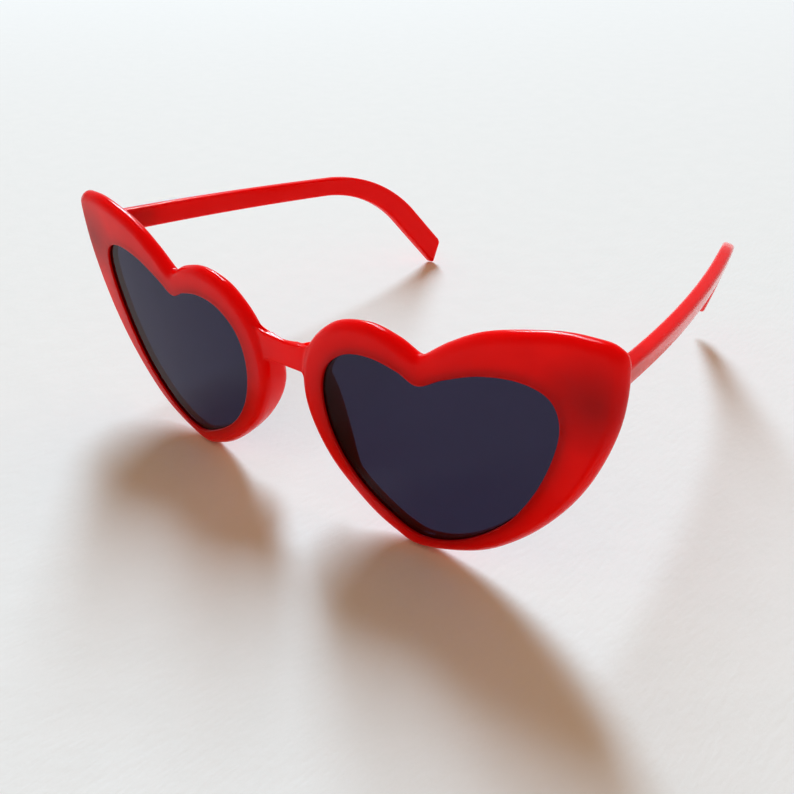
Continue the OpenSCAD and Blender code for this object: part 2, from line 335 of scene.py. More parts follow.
# %% Rows over the side and back to the groove
REAR_R, PAD_EXTRA_R, PAD_FULL = 1.45, 0.6, 3  # the rear rounding grows where the pad is high
PAD_KEEP, PAD_ROLL = 0.45, 0.52  # shares of the rim's width
rear_r = REAR_R + PAD_EXTRA_R * np.clip(pad_up / PAD_FULL, 0, 1)
back = FRONT_T + pad_up
for t in (0.25, 0.5, 0.75):
    add_row(outer, lerp(EDGE_R, back - rear_r, t))
rear_row = len(rows) + len(ROUND) - 1 - BRIDGE_TURN
for turn in ROUND[::-1]:
    off = rear_r * (1 - math.sin(turn))
    add_row(outer + off[:, None] * outer_in, back - rear_r * (1 - math.cos(turn)))
rear_out, rear_in = outer + rear_r[:, None] * outer_in, inner + OPEN_R * inner_out
for t in (0.08, 0.2, 0.32, 0.45, 0.56, 0.66, 0.75, 0.83, 0.9, 0.95):
    keep = math.sqrt(1 - np.clip((t - PAD_KEEP) / PAD_ROLL, 0, 1) ** 2)
    add_row(lerp(rear_out, rear_in, t), FRONT_T + pad_up * keep)
for turn in ROUND[[7, 4, 0]]:
    add_row(inner + OPEN_R * (1 - math.cos(turn)) * inner_out,
            FRONT_T - OPEN_R * (1 - math.sin(turn)))
groove_floor = inner + (LENS_HOLD + LENS_PLAY) * inner_out
add_row(inner, groove_out)
add_row(groove_floor, groove_out)
add_row(groove_floor, groove_in)
print("rows in the section:", len(rows), "bridge between rows", front_row, "and", rear_row)

# %% Extrude the right heart
front = extruded("front", [swept(r) for r in rows], closed=True)

# %% [markdown]
# ## The bridge
# The bridge is a strap set back from the faces. It is moulded in one with the hearts, so it
# flows into them with a soft fillet all round. A hole is opened in the side of the heart, its
# edge is extruded towards the middle, and a mirror makes the other half. Behind, the strap is
# hollowed for the nose, so it is thinnest in the middle.

# %% Open the side of the heart
HOLE_LOW, HOLE_TOP = -1.5, 8.2  # the strap's root on the side of the heart
left_side = np.cos(angles) < 0
hole = [i for i in range(RAYS) if left_side[i] and HOLE_LOW < outer[i, 1] < HOLE_TOP]
first, last = min(hole), max(hole)
bpy.ops.object.mode_set(mode="EDIT")
bpy.ops.mesh.select_mode(type="FACE")
bpy.ops.mesh.select_all(action="DESELECT")
bm = bmesh.from_edit_mesh(front.data)
ray, row = bm.verts.layers.int["ray"], bm.verts.layers.int["row"]
for f in bm.faces:
    f.select = all(first <= v[ray] <= last and front_row <= v[row] <= rear_row for v in f.verts)
bmesh.update_edit_mesh(front.data)
bpy.ops.mesh.delete(type="FACE")
print("hole from ray", first, "to", last)

# %% [markdown]
# The section of the strap is a block with rounded corners. Each corner of the hole is given
# its place on that section, by how far it lies from the hole's own corners.

# %% The section of the strap
BRIDGE_H, BRIDGE_DIP, BRIDGE_ROOT = 7.2, 1.1, 2.6
STRAP_R = 0.45  # rounding of its edges
STRAP_BACK = 2.3  # its rear in the middle, behind the face
STRAP_HOLLOW, STRAP_HALF = 1.1, 5.5  # how much further back its rear is beside the hearts
CORNER = 2  # steps on each side of a rounded corner
grid = np.stack(rows)
n_ray, n_row = last - first, rear_row - front_row


def between_corners(step, steps):
    return min(max((step - CORNER) / (steps - 2 * CORNER), 0), 1)


def strap_point(i, k, x):
    top = BRIDGE_H - BRIDGE_DIP * (1 - (x / (HEART_X + BRIDGE_ROOT)) ** 2)
    low, near, far = 0.0, BRIDGE_STEP, STRAP_BACK + STRAP_HOLLOW * (x / STRAP_HALF) ** 2
    from_top, from_near = i - first, k - front_row
    a, b = min(from_top, n_ray - from_top), min(from_near, n_row - from_near)
    z = lerp(top - STRAP_R, low + STRAP_R, between_corners(from_top, n_ray))
    depth = lerp(near + STRAP_R, far - STRAP_R, between_corners(from_near, n_row))
    turn = math.radians(45 - 45 / CORNER * a if b == 0 else 45 + 45 / CORNER * b)
    if a <= CORNER and b <= CORNER:
        z += STRAP_R * math.sin(turn) * (1 if from_top < n_ray / 2 else -1)
        depth -= STRAP_R * math.cos(turn) * (1 if from_near < n_row / 2 else -1)
    elif b == 0:
        depth = near if from_near < n_row / 2 else far
    else:
        z = top if from_top < n_ray / 2 else low
    return np.array([x, z, depth])


print("strap in the middle:", BRIDGE_H - BRIDGE_DIP, "mm high,",
      round(STRAP_BACK - BRIDGE_STEP, 2), "mm thick")

# %% [markdown]
# Each corner of the hole follows its own path. It leaves along the heart's surface, turns
# into the strap on a smooth curve, and then runs straight to the middle.

# %% Paths from the hole to the middle
STRAP_FRONT_X, STRAP_REAR_X = 5.0, 3.6  # where the curve ends, in front and behind
PULL = 0.45  # how long the curve keeps its first direction
CURVED_STEPS, STRAIGHT_STEPS = 9, 6


def path(i, k):
    at = grid[k, i]
    to_i = i + (1 if i == first else -1 if i == last else 0)
    to_k = k + (1 if k == front_row else -1 if k == rear_row else 0)
    leave = grid[to_k, to_i] - at
    leave /= np.linalg.norm(leave)
    end_x = lerp(STRAP_FRONT_X, STRAP_REAR_X, (k - front_row) / n_row)
    end = strap_point(i, k, end_x)
    pull = PULL * np.linalg.norm(end - at)
    p1, p2 = at + pull * leave, end + np.array([pull, 0, 0])
    curved = [(1 - t) ** 3 * at + 3 * t * (1 - t) ** 2 * p1 + 3 * t * t * (1 - t) * p2 + t ** 3 * end
              for t in np.linspace(0, 1, CURVED_STEPS + 1)[1:]]
    straight = [strap_point(i, k, end_x * (1 - t))
                for t in np.linspace(0, 1, STRAIGHT_STEPS + 1)[1:]]
    return swept(curved + straight)


edge_of_hole = {(i, k) for i in range(first, last + 1) for k in range(front_row, rear_row + 1)
                if i in (first, last) or k in (front_row, rear_row)}
paths = {spot: path(*spot) for spot in edge_of_hole}
bpy.ops.mesh.select_mode(type="EDGE")
bpy.ops.mesh.select_all(action="DESELECT")
bm = bmesh.from_edit_mesh(front.data)
ray, row = bm.verts.layers.int["ray"], bm.verts.layers.int["row"]
for e in bm.edges:
    e.select = e.is_boundary and all((v[ray], v[row]) in edge_of_hole for v in e.verts)
print("edges round the hole:", sum(e.select for e in bm.edges))
bmesh.update_edit_mesh(front.data)
for step in range(CURVED_STEPS + STRAIGHT_STEPS):
    extrude_to(front, lambda i, k, step=step: paths[i, k][step])
bpy.ops.object.mode_set(mode="OBJECT")

# %% [markdown]
# The half front ends on the middle plane, so a Mirror modifier makes the other half and joins
# the two. A mirror can turn a shape inside out, so the normals are worked out again after it.

# %% Mirror the half front
def finish_with(piece, kind, **settings):
    select_only(piece)
    modifier = piece.modifiers.new(kind.title(), kind)
    for name, value in settings.items():
        setattr(modifier, name, value)
    bpy.ops.object.modifier_apply(modifier=modifier.name)


finish_with(front, "MIRROR", use_mirror_merge=True, merge_threshold=1e-6)
bpy.ops.object.mode_set(mode="EDIT")
weld(front, 1e-7)
measure(front)

# %% [markdown]
# ## The blocks behind the wings
# Each hinge is sunk into a block at the back of a wing. It starts as a cube, its edges are
# bevelled, its corner over the opening is cut away, and it is joined to the front by a
# boolean. A second boolean sinks the seat of the hinge's leaf.

# %% Where the block and the hinge are
WING_PAST, TEMPLE_DROP, TEMPLE_T, ROOT_H, BLOCK_STAND = 3.6, 9.5, 3, 5.7, 1.1
BARREL_R, BARREL_GAP, KNUCKLE_H, KNUCKLE_GAP, HEAD_H = 1.6, 0.4, 1.4, 0.15, 0.55
FRONT_LEAF_W, LEAF_T = 7, 0.8
TEMPLE_Z = HEART_H - POINT_DROP - TEMPLE_DROP
OUTER_X = FRONT_W / 2 - WING_PAST
INNER_X = OUTER_X - TEMPLE_T
AXIS_X = INNER_X - BARREL_GAP - BARREL_R
BLOCK_X = AXIS_X - FRONT_LEAF_W + BARREL_R / 2
BLOCK_Y = FACE_R - math.sqrt((FACE_R - FRONT_T) ** 2 - OUTER_X ** 2) + BLOCK_STAND
BARREL_H = 3 * KNUCKLE_H + 2 * KNUCKLE_GAP
BARREL_Z = TEMPLE_Z + ROOT_H / 2 - HEAD_H - BARREL_H
print("block from x", round(BLOCK_X, 2), "to", round(OUTER_X, 2), "and back to y",
      round(BLOCK_Y + FACE_Y, 2), "mm, hinge on x", round(AXIS_X, 2))

# %% Helpers for boxes, booleans and mirrored copies
def box(name, low, high, bevel=0.0):
    deselect_all()
    low, high = np.array(low, float), np.array(high, float)
    bpy.ops.mesh.primitive_cube_add(size=1, location=(low + high) / 2 * MM)
    piece = bpy.context.object
    piece.name = piece.data.name = name
    piece.scale = Vector((high - low) * MM)
    bpy.ops.object.transform_apply(location=True, rotation=True, scale=True)
    if bevel:
        bpy.ops.object.mode_set(mode="EDIT")
        bpy.ops.mesh.select_all(action="SELECT")
        bpy.ops.mesh.bevel(offset=bevel * MM, segments=4, profile=0.5)
        bpy.ops.object.mode_set(mode="OBJECT")
    return piece


def combine(piece, other, operation):
    finish_with(piece, "BOOLEAN", object=other, operation=operation, solver="EXACT")
    bpy.data.objects.remove(other)


def mirrored(piece, name):
    deselect_all()
    other = piece.copy()
    other.data = piece.data.copy()
    other.name = other.data.name = name
    bpy.context.collection.objects.link(other)
    other.data.transform(Matrix.Scale(-1, 4, (1, 0, 0)))
    other.data.flip_normals()
    return other


# %% Blocks, and seats for the leaves
BLOCK_FROM, BLOCK_BEVEL = 5.0, 0.5  # the block starts inside the wing's thickness
PAST_EDGE = 0.35  # how far behind the opening's soft edge the block stops
OVERRUN = 1  # how far the seat's cut stands proud of the block
block = box("block", (BLOCK_X, BLOCK_FROM, TEMPLE_Z - ROOT_H / 2),
            (OUTER_X, BLOCK_Y + FACE_Y, TEMPLE_Z + ROOT_H / 2), BLOCK_BEVEL)
edge = inner + PAST_EDGE * inner_out
room = extruded("opening_room", [swept(with_depth(edge, FRONT_T / 2 + reach))
                                 for reach in (0, BLOCK_Y)])
combine(block, room, "DIFFERENCE")
measure(block)
seat = box("seat", (BLOCK_X + BARREL_R / 2, BLOCK_Y + FACE_Y - LEAF_T, BARREL_Z),
           (BLOCK_X + FRONT_LEAF_W, BLOCK_Y + FACE_Y + OVERRUN, BARREL_Z + BARREL_H))
for tool, operation in ((block, "UNION"), (seat, "DIFFERENCE")):
    other = mirrored(tool, tool.name + "_left")
    combine(front, tool, operation)
    combine(front, other, operation)
measure(front)

# %% [markdown]
# ## The lenses
# A smoke lens is one even sheet, 1.3 mm thick, with the sweep of the front. Its rim sits in
# the groove. Rings shrink from the rim to the middle on both faces.

# %% Lenses
CENTRE_DROP = 1.0  # the rings shrink towards a point just below the middle
lens_rim = inner + LENS_HOLD * inner_out
lens_centre = middle - np.array([0, CENTRE_DROP])
spread_out = [0.05, 0.15, 0.3, 0.45, 0.6, 0.74, 0.86, 0.94, 0.985, 1]
lens_rings = [lens_centre + s * (lens_rim - lens_centre) for s in spread_out]
lens_right = extruded("smoke_lens_right", (
    [swept(with_depth(ring, LIP_T)) for ring in lens_rings]
    + [swept(with_depth(ring, LIP_T + LENS_T)) for ring in lens_rings[::-1]]))
lens_left = mirrored(lens_right, "smoke_lens_left")

# %% [markdown]
# ## The temples
# A temple is a slim bar with soft corners. It falls slightly towards the ear, bends down
# behind it, and ends in a slanted paddle. Sections follow its middle line, and the whole bar
# is bowed sideways like the front. The right one stands leaned inwards in its hinge.

# %% Middle line of a temple
NECK_H, END_H, STRAIGHT_L, BEND_R, END_CUT = 5.4, 7.2, 74, 45, 3.6
FALL, END_FALL = math.radians(8.6), math.radians(53.5)
BUTT_GAP = 0.35  # between a temple and its block
BUTT_Y = BLOCK_Y + BUTT_GAP
STRAIGHT_ROWS, BEND_ROWS, END_ROWS = 26, 19, 13
FALL_QUICKLY = 6  # the bar takes on its fall over the first sixth
SLANT_FROM, SLANT_CURVE = 0.4, 1.5  # the share of the end where its slant begins


def ahead(turn):
    return np.array([math.cos(turn), -math.sin(turn)])


def middle_line():
    """Each section's place, turn, height, and how far its top leans back from its foot."""
    start = np.array([BUTT_Y, TEMPLE_Z])
    bend_from = start + STRAIGHT_L * ahead(FALL)
    line = []
    for t in np.linspace(0, 1, STRAIGHT_ROWS):
        turn = FALL * min(1, t * FALL_QUICKLY)
        line.append((lerp(start, bend_from, t), turn, lerp(ROOT_H, NECK_H, t), 0))
    for t in np.linspace(0, 1, BEND_ROWS)[1:]:
        turn = lerp(FALL, END_FALL, t)
        at = bend_from + BEND_R * np.array([math.sin(turn) - math.sin(FALL),
                                            math.cos(turn) - math.cos(FALL)])
        line.append((at, turn, lerp(NECK_H, END_H, t), 0))
    bend_to = line[-1][0]
    end_l = (bend_to[1] - END_H / 2 * math.cos(END_FALL) + POINT_DROP) / math.sin(END_FALL)
    for t in np.linspace(0, 1, END_ROWS)[1:]:
        slant = END_CUT / 2 * max(0, (t - SLANT_FROM) / (1 - SLANT_FROM)) ** SLANT_CURVE
        line.append((bend_to + (end_l - END_CUT / 2) * t * ahead(END_FALL), END_FALL, END_H, slant))
    return line


line = middle_line()
steps = [np.linalg.norm(b[0] - a[0]) for a, b in zip(line, line[1:])]
print("temple:", len(line), "sections,", round(float(sum(steps)), 1), "mm to the middle of its end")

# %% One section of the bar
ARC_STEPS = 6  # on each rounded corner
TOP_LEAN = 0.7  # the top corner of the slanted end leans back further


def section(at, turn, height, slant, thick, corner, top_cut=0.0):
    up = np.array([math.sin(turn), math.cos(turn)])
    half_t, half_h = thick / 2, height / 2
    points = []
    for q, (sx, sz) in enumerate(((1, 1), (-1, 1), (-1, -1), (1, -1))):
        for step in range(ARC_STEPS + 1):
            a = math.radians(90 * q + 90 / ARC_STEPS * step)
            u = sx * (half_t - corner) + corner * math.cos(a)
            v = sz * (half_h - corner) + corner * math.sin(a)
            if v > 0:
                v -= top_cut * v / half_h
            lean = slant * (v / half_h + TOP_LEAN * max(v / half_h, 0) ** 4)
            y, z = at + v * up - lean * ahead(turn)
            points.append((u, y, z))
    return np.array(points)


print("points round a section:", 4 * (ARC_STEPS + 1))

# %% Bow the bar, and tip it in its hinge
BOW_R = 410
LEAF_GAP = 0.25  # between the barrel and the block
AXIS_Y = BLOCK_Y + LEAF_GAP + BARREL_R
HINGE = np.array([INNER_X, AXIS_Y, BARREL_Z])


def bowed(points):
    u, y, z = points.T
    x = OUTER_X - BOW_R + np.sqrt((BOW_R - TEMPLE_T / 2 + u) ** 2 - (y - BUTT_Y) ** 2)
    return np.stack([x, y, z], 1)


def tipped(points, lift, lean):
    x, y, z = (points - HINGE).T
    x, z = x * math.cos(lean) + z * math.sin(lean), -x * math.sin(lean) + z * math.cos(lean)
    y, z = y * math.cos(lift) - z * math.sin(lift), y * math.sin(lift) + z * math.cos(lift)
    return np.stack([x, y, z], 1) + HINGE


print("temples turn about a point", HINGE.round(2).tolist(), "mm")

# %% [markdown]
# At both ends the section is repeated, smaller the nearer it lies to the end, which rounds
# the bar off. At the far end the top is also cut a little lower.

# %% Extrude both temples
BAR_R, BUTT_R, END_R = 0.9, 0.35, 0.85  # how round the bar's edges and its two ends are
END_TOP_CUT = 1.5
RIGHT_LIFT, RIGHT_LEAN = math.radians(1.4), math.radians(12.5)


def temple(name, lift, lean):
    sections = []
    at, fall, height, slant = line[0]
    for turn in np.radians([0, 25, 50, 72, 90]):
        inset = BUTT_R * (1 - math.sin(turn))
        forward = np.array([BUTT_R * (1 - math.cos(turn)), 0])
        sections.append(section(at + forward, 0, height - 2 * inset, slant,
                                TEMPLE_T - 2 * inset, BAR_R - inset))
    sections += [section(at, fall, h, s, TEMPLE_T, BAR_R) for at, fall, h, s in line[1:-1]]
    at, fall, height, slant = line[-1]
    for turn in np.radians([0, 15, 30, 45, 60, 75, 88]):
        inset = END_R * (1 - math.cos(turn))
        foot = at - END_R * (1 - math.sin(turn)) * ahead(fall)
        sections.append(section(foot, fall, height - 2 * inset, slant, TEMPLE_T - 2 * inset,
                                BAR_R - inset, END_TOP_CUT * (1 - math.cos(turn))))
    return extruded(name, [(tipped(bowed(points), lift, lean) + np.array([0, FACE_Y, 0])) * MM
                           for points in sections])


temple_right = temple("temple_bar_right", RIGHT_LIFT, RIGHT_LEAN)
temple_plain = temple("temple_bar", 0, 0)

# %% [markdown]
# The leaf of a hinge is moulded into its temple, under a thin skin of plastic, with a small
# anchor behind it. Only the arm to the barrel comes out. Three boxes make its room.

# %% Room for the leaves in the temples
TEMPLE_LEAF_L, LEAF_H, LEAF_COVER, ANCHOR_W, ANCHOR_T = 12, 3.8, 0.5, 2, 1
ROOM_LAP = 0.1  # by which the anchor's room runs into the leaf's


def turned(lift, lean):
    foot = Vector(HINGE) * MM
    return (Matrix.Translation(Vector((0, FACE_Y, 0)) * MM + foot) @ Matrix.Rotation(lift, 4, "X")
            @ Matrix.Rotation(lean, 4, "Y") @ Matrix.Translation(-foot))


def cut_seat(piece, lift, lean):
    half, arm_z = BARREL_H / 2, BARREL_Z + KNUCKLE_H + KNUCKLE_GAP
    at = Vector((INNER_X + LEAF_COVER, AXIS_Y, BARREL_Z + half)) * MM
    turn = turned(lift, lean) @ Matrix.Translation(at) @ Matrix.Rotation(-FALL, 4, "X")
    leaf = box("leaf_room", (0, -BARREL_R / 2, -LEAF_H / 2),
               (LEAF_T, TEMPLE_LEAF_L - BARREL_R / 2, LEAF_H / 2))
    anchor = box("anchor_room", (LEAF_T - ROOM_LAP, TEMPLE_LEAF_L / 2, -ANCHOR_W / 2),
                 (LEAF_T + ANCHOR_T, TEMPLE_LEAF_L / 2 + ANCHOR_W, ANCHOR_W / 2))
    for room in (leaf, anchor):
        room.data.transform(turn)
    arm_end = INNER_X + LEAF_COVER + LEAF_T / 2 + half * math.tan(lean)
    arm = box("arm_room", (AXIS_X, AXIS_Y + FACE_Y, arm_z),
              (arm_end, AXIS_Y + FACE_Y + BARREL_R, arm_z + KNUCKLE_H))
    for room in (leaf, anchor, arm):
        combine(piece, room, "DIFFERENCE")
    measure(piece)


cut_seat(temple_right, RIGHT_LIFT, RIGHT_LEAN)
cut_seat(temple_plain, 0, 0)
temple_left = mirrored(temple_plain, "temple_bar_left")
bpy.data.objects.remove(temple_plain)

# %% [markdown]
# ## Smooth shading
# Soft corners shade smoothly, and the few true corners, such as the groove, stay crisp.

# %% Shade by angle
CRISP_ABOVE = math.radians(32)
pieces = (front, lens_left, lens_right, temple_left, temple_right)
for piece in pieces:
    select_only(piece)
    bpy.ops.object.shade_smooth_by_angle(angle=CRISP_ABOVE)
print("shaded:", [piece.name for piece in pieces])

# %% [markdown]
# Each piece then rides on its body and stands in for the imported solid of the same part. The
# lenses don't move on their own, so they ride on the front.

# %% Ride on the bodies
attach(front, "front")
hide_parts("front_frame")
for piece, side in ((lens_left, "left"), (lens_right, "right")):
    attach(piece, "front")
    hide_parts("lens_" + side)
for piece, side in ((temple_left, "left"), (temple_right, "right")):
    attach(piece, side + "_temple")
    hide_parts("temple_" + side)
print("kept from the pack:", sorted(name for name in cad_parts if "hinge" in name))

# %% [markdown]
# ## Materials
# Every surface carries the small unevenness that its process leaves. A texture's space is the
# object's own, in metres, so a pattern's scale is one over the real width of its marks. Marks
# of several widths are laid over each other, because no real surface has only one.

# %% Helpers for colours and nodes
def colour(text):
    parts = [int(text[i:i + 2], 16) / 255 for i in (1, 3, 5)]
    return tuple(c / 12.92 if c <= 0.04045 else ((c + 0.055) / 1.055) ** 2.4 for c in parts) + (1,)


def add(tree, kind, output, sockets, **properties):
    """Adds a node, sets or links its sockets, and gives one of its outputs."""
    node = tree.nodes.new(kind)
    for name, value in properties.items():
        setattr(node, name, value)
    for name, value in sockets.items():
        if isinstance(value, bpy.types.NodeSocket):
            tree.links.new(value, node.inputs[name])
        else:
            node.inputs[name].default_value = value
    return node.outputs[output]


def new_material(name, sockets):
    material = bpy.data.materials.new(name)
    material.use_nodes = True
    surface = material.node_tree.nodes["Principled BSDF"]
    for socket, value in sockets.items():
        surface.inputs[socket].default_value = value
    place = add(material.node_tree, "ShaderNodeTexCoord", "Object", {})
    return material, material.node_tree, surface, place


print("mid grey in linear light:", [round(c, 3) for c in colour("#808080")[:3]])

# %% [markdown]
# One pattern recurs on the pieces: a value that wanders between two limits in soft patches.
# Where marks have a direction, a Mapping node first scales the object's space along one axis,
# so that the patches laid on it become strokes.

# %% Wandering marks and relief
def wander(tree, place, width, low, high, detail=2):
    """A value that wanders from low to high over marks so many millimetres wide."""
    noise = add(tree, "ShaderNodeTexNoise", "Fac",
                {"Vector": place, "Scale": 1 / (width * MM), "Detail": detail})
    return add(tree, "ShaderNodeMapRange", "Result", {
        "Value": noise, "From Min": 0.3, "From Max": 0.7, "To Min": low, "To Max": high})


def finish_surface(tree, surface, base, rough, height, *, strength, depth):
    """Gives a surface its colour, its roughness and a relief so many millimetres deep."""
    relief = add(tree, "ShaderNodeBump", "Normal",
                 {"Height": height, "Strength": strength, "Distance": depth * MM})
    for socket, source in (("Base Color", base), ("Roughness", rough), ("Normal", relief)):
        tree.links.new(source, surface.inputs[socket])


# %% [markdown]
# ## Red plastic
# The front and the temples are tumbled and polished acrylic: light passes into the deep red,
# the gloss is soft and wide, edges are rubbed a little paler, and a moulded face is faintly
# wavy. A painted shade darkens the front's red where a hinge block backs it, because the block
# holds back light passing through the red. Light goes less deep in the temples, whose metal
# doesn't show through.

# %% Painted shade where a block backs the front
# Painted shade: the front's red is darkened near each hinge block, where the block holds back light
# passing through the wing.
PAINTED_SHADE_AT = ((OUTER_X - 1) * MM, 0, BARREL_Z * MM)  # near the outer end of a block
SHADE_FULL_TO, SHADE_GONE_FROM = 1, 11  # in millimetres from there


def painted_block_shade(tree, place):
    """Painted shade: one at the outer end of each hinge block, falling to nothing 11 mm away."""
    x, z = (add(tree, "ShaderNodeSeparateXYZ", axis, {"Vector": place}) for axis in "XZ")
    side = add(tree, "ShaderNodeMath", "Value", {0: x}, operation="ABSOLUTE")
    flat = add(tree, "ShaderNodeCombineXYZ", "Vector", {"X": side, "Z": z})
    away = add(tree, "ShaderNodeVectorMath", "Value", {0: flat, 1: PAINTED_SHADE_AT}, operation="DISTANCE")
    return add(tree, "ShaderNodeMapRange", "Result", {
        "Value": away, "From Min": SHADE_FULL_TO * MM, "From Max": SHADE_GONE_FROM * MM,
        "To Min": 1, "To Max": 0})


# %% Red of the front and of the temples
CLOUDS, GLOSS_MARKS, WIPES, TOOTH, RUBS, WAVES = 11.11, 4.167, 2, 0.3846, 1.429, 6.25  # in mm
ALONG_WIPES = (1, 12, 1)  # squeezes the marks into strokes


def red_plastic(name, depth, dark, light, block_shaded):
    material, tree, surface, place = new_material(name, {
        "IOR": 1.49, "Specular IOR Level": 0.1, "Subsurface Weight": 1.0,
        "Subsurface Radius": (1.0, 0.05, 0.04), "Subsurface Scale": depth * MM})
    red = add(tree, "ShaderNodeMix", "Result", {
        "Factor": wander(tree, place, CLOUDS, 0, 1), "A": colour(dark), "B": colour(light)},
        data_type="RGBA")
    if block_shaded:
        # Painted shade: the red turns darker near each hinge block, which holds back the light
        # passing through the wing.
        red = add(tree, "ShaderNodeMix", "Result", {
            "Factor": painted_block_shade(tree, place), "A": red, "B": colour("#B40404")},
            data_type="RGBA")
    edges = add(tree, "ShaderNodeNewGeometry", "Pointiness", {})
    edges = add(tree, "ShaderNodeMapRange", "Result", {
        "Value": edges, "From Min": 0.51, "From Max": 0.6, "To Min": 0, "To Max": 0.5})
    rubs = add(tree, "ShaderNodeTexNoise", "Fac",
               {"Vector": place, "Scale": 1 / (RUBS * MM), "Detail": 4})
    rubbed = add(tree, "ShaderNodeMath", "Value", {0: edges, 1: rubs}, operation="MULTIPLY")
    red = add(tree, "ShaderNodeMix", "Result",
              {"Factor": rubbed, "A": red, "B": colour("#F5261C")}, data_type="RGBA")
    strokes = add(tree, "ShaderNodeMapping", "Vector", {"Vector": place, "Scale": ALONG_WIPES})
    rough = add(tree, "ShaderNodeMath", "Value", {
        0: wander(tree, place, GLOSS_MARKS, 0.05, 0.1, detail=4),
        1: wander(tree, strokes, WIPES, 0, 0.05, detail=5)}, operation="ADD")
    waves = add(tree, "ShaderNodeTexNoise", "Fac", {"Vector": place, "Scale": 1 / (WAVES * MM)})
    height = add(tree, "ShaderNodeMath", "Value",
                 {0: waves, 1: wander(tree, place, TOOTH, 0, 0.12, detail=3)}, operation="ADD")
    finish_surface(tree, surface, red, rough, height, strength=0.12, depth=0.3)
    print(name, "has", len(tree.nodes), "nodes, light goes", depth, "mm deep")
    return material


red_front = red_plastic("red_polished_moulded_plastic", 6, "#E20303", "#EC0604", True)
red_temple = red_plastic("red_polished_temple_plastic", 2, "#F80303", "#FD0604", False)

# %% [markdown]
# ## Smoke lens
# The lens is dyed sheet, almost black, which lets a little violet through. A flash coating
# keeps its reflections faint, under the film of wiping marks that every lens picks up. Its
# index is set far below a real lens's 1.5, because that is what matched the object here.

# %% Smoke lens
DYE, FILM, SAG = 25, 3.333, 16.67  # in mm
smoke, tree, surface, place = new_material(
    "smoke_lens_sheet", {"IOR": 1.16, "Transmission Weight": 1.0})
dye = add(tree, "ShaderNodeTexNoise", "Fac", {"Vector": place, "Scale": 1 / (DYE * MM)})
tint = add(tree, "ShaderNodeMix", "Result",
           {"Factor": dye, "A": colour("#302D42"), "B": colour("#332F45")}, data_type="RGBA")
strokes = add(tree, "ShaderNodeMapping", "Vector", {"Vector": place, "Scale": (1, 1, 6)})
sag = add(tree, "ShaderNodeTexNoise", "Fac", {"Vector": place, "Scale": 1 / (SAG * MM)})
film = wander(tree, strokes, FILM, 0.02, 0.05, detail=5)
finish_surface(tree, surface, tint, film, sag, strength=0.03, depth=0.2)
print(smoke.name, "has", len(tree.nodes), "nodes")

# %% [markdown]
# ## Hinge metal
# The hinges are nickel plate over turned and stamped steel: fine lathe and press marks, paler
# rubbed corners, and a duller bloom in patches. The marks are strokes 0.4 mm long and 0.05 mm
# across.

# %% Nickel plated steel
PRESS_MARKS, BLOOM, DULL = 0.4, 1.667, 1.111  # in mm
steel, tree, surface, place = new_material("nickel_plated_hinge_steel", {"Metallic": 1.0})
strokes = add(tree, "ShaderNodeMapping", "Vector", {"Vector": place, "Scale": (1, 1, 8)})
marks = add(tree, "ShaderNodeTexNoise", "Fac",
            {"Vector": strokes, "Scale": 1 / (PRESS_MARKS * MM), "Detail": 4})
plate = add(tree, "ShaderNodeMix", "Result", {
    "Factor": wander(tree, place, BLOOM, 0, 1, detail=4),
    "A": colour("#AFA99F"), "B": colour("#C6C2B9")}, data_type="RGBA")
edges = add(tree, "ShaderNodeNewGeometry", "Pointiness", {})
edges = add(tree, "ShaderNodeMapRange", "Result", {
    "Value": edges, "From Min": 0.5, "From Max": 0.6, "To Min": 0, "To Max": 0.7})
plate = add(tree, "ShaderNodeMix", "Result",
            {"Factor": edges, "A": plate, "B": colour("#E4E1DA")}, data_type="RGBA")
rough_marks = add(tree, "ShaderNodeMapRange", "Result", {
    "Value": marks, "From Min": 0.3, "From Max": 0.7, "To Min": 0, "To Max": 0.08})
rough = add(tree, "ShaderNodeMath", "Value",
            {0: wander(tree, place, DULL, 0.2, 0.34, detail=4), 1: rough_marks}, operation="ADD")
finish_surface(tree, surface, plate, rough, marks, strength=0.25, depth=0.05)
print(steel.name, "has", len(tree.nodes), "nodes")

# %% [markdown]
# ## Finishes on the pieces
# Each new piece gets its material.
# The hinges and screws keep their imported solids, so only their slots get the metal.

# %% Give the pieces their materials
for piece in (front, temple_left, temple_right):
    piece.data.materials.clear()
    piece.data.materials.append(red_front if piece is front else red_temple)
for piece in (lens_left, lens_right):
    piece.data.materials.clear()
    piece.data.materials.append(smoke)
for name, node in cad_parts.items():
    if "hinge" in name:
        for slot in node.material_slots:
            slot.material = steel
print({piece.name: piece.data.materials[0].name for piece in pieces})

# %% [markdown]
# ## The floor
# The glasses stand on smooth white card, with a trace of fibre in its colour and a fine
# tooth. Its level is that of the hearts' points.

# %% Floor
FLOOR_W = 6  # in metres
FIBRES, TONES, TEETH = 1.111, 8.333, 9.091  # in mm, the fibres coarser than real ones
deselect_all()
bpy.ops.mesh.primitive_plane_add(size=FLOOR_W, location=(0, 0, -POINT_DROP * MM))
floor = bpy.context.object
floor.name = "paper_floor"
paper, tree, surface, place = new_material("matt_white_card", {"Specular IOR Level": 0.1})
strokes = add(tree, "ShaderNodeMapping", "Vector", {"Vector": place, "Scale": (1, 0.35, 1)})
fibres = add(tree, "ShaderNodeTexNoise", "Fac",
             {"Vector": strokes, "Scale": 1 / (FIBRES * MM), "Detail": 4})
tones = add(tree, "ShaderNodeTexNoise", "Fac",
            {"Vector": place, "Scale": 1 / (TONES * MM), "Detail": 5})
card = add(tree, "ShaderNodeMix", "Result",
           {"Factor": tones, "A": colour("#EBEDEE"), "B": colour("#F0F1F2")}, data_type="RGBA")
